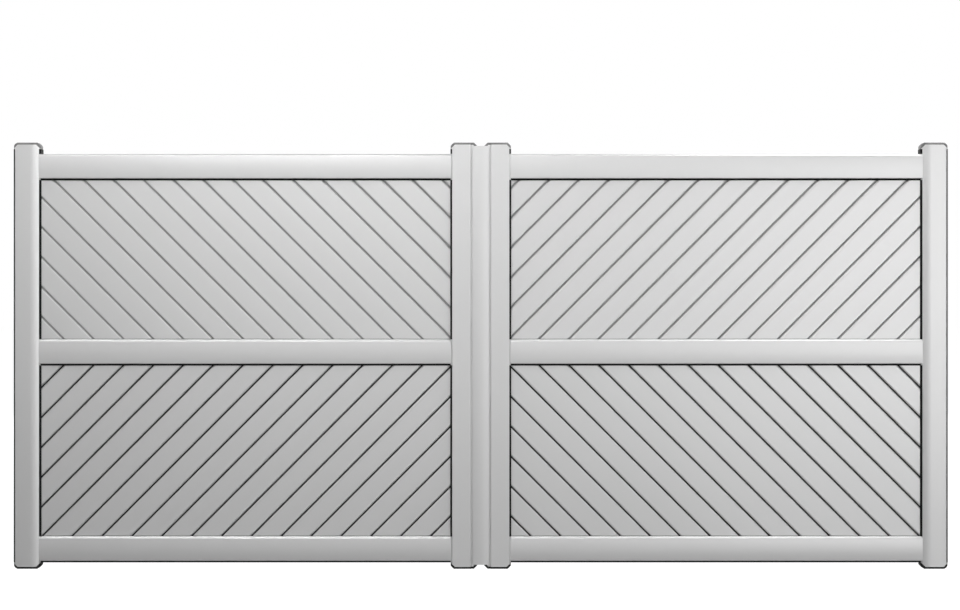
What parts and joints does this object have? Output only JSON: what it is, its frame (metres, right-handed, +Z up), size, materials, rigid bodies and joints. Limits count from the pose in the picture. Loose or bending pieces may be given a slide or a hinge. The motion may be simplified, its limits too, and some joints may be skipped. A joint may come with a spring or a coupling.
{
  "type": "swing gate",
  "caption": "Swing gate with mirrored leaves: grey coated aluminium frames, diagonal V-jointed boards, dark end caps, a cover strip at the meeting line and pin hinges behind the stiles.",
  "frame": {"origin": "centre of the flat face of the left lower hinge bracket, which is bolted to the pillar", "axes": "+X along the gate from the left pillar to the right one, +Y to the gate's back, +Z up"},
  "size_m": [3.541, 0.16, 1.6],
  "materials": {
    "frame_paint": "satin powder coat, light grey",
    "board_paint": "satin powder coat, light grey",
    "cap_plastic": "fine moulded grain, dark grey",
    "hinge_steel": "dull galvanised"
  },
  "bodies": {
    "pillar_brackets": {"left_lower_hinge_bracket": "hinge_steel", "left_upper_hinge_bracket": "hinge_steel", "right_lower_hinge_bracket": "hinge_steel", "right_upper_hinge_bracket": "hinge_steel"},
    "left_leaf": {"left_hinge_stile": "frame_paint", "left_meeting_stile": "frame_paint", "left_closing_profile": "frame_paint", "left_top_rail": "frame_paint", "left_mid_rail": "frame_paint", "left_bottom_rail": "frame_paint", "left_upper_boards": "board_paint", "left_lower_boards": "board_paint", "left_hinge_stile_top_cap": "cap_plastic", "left_hinge_stile_bottom_cap": "cap_plastic", "left_meeting_stile_top_cap": "cap_plastic", "left_meeting_stile_bottom_cap": "cap_plastic", "left_upper_hinge_strap": "hinge_steel", "left_lower_hinge_strap": "hinge_steel", "meeting_cover_strip": "frame_paint"},
    "right_leaf": {"right_hinge_stile": "frame_paint", "right_meeting_stile": "frame_paint", "right_closing_profile": "frame_paint", "right_top_rail": "frame_paint", "right_mid_rail": "frame_paint", "right_bottom_rail": "frame_paint", "right_upper_boards": "board_paint", "right_lower_boards": "board_paint", "right_hinge_stile_top_cap": "cap_plastic", "right_hinge_stile_bottom_cap": "cap_plastic", "right_meeting_stile_top_cap": "cap_plastic", "right_meeting_stile_bottom_cap": "cap_plastic", "right_upper_hinge_strap": "hinge_steel", "right_lower_hinge_strap": "hinge_steel"}
  },
  "joints": [
    {"name": "left_leaf_swing", "type": "hinge", "parent": "pillar_brackets", "child": "left_leaf", "pos_m": [0.033, -0.029, 0], "axis": [0, 0, 1], "range_deg": [0, 100]},
    {"name": "right_leaf_swing", "type": "hinge", "parent": "pillar_brackets", "child": "right_leaf", "pos_m": [3.508, -0.029, 0], "axis": [0, 0, -1], "range_deg": [0, 100]}
  ]
}
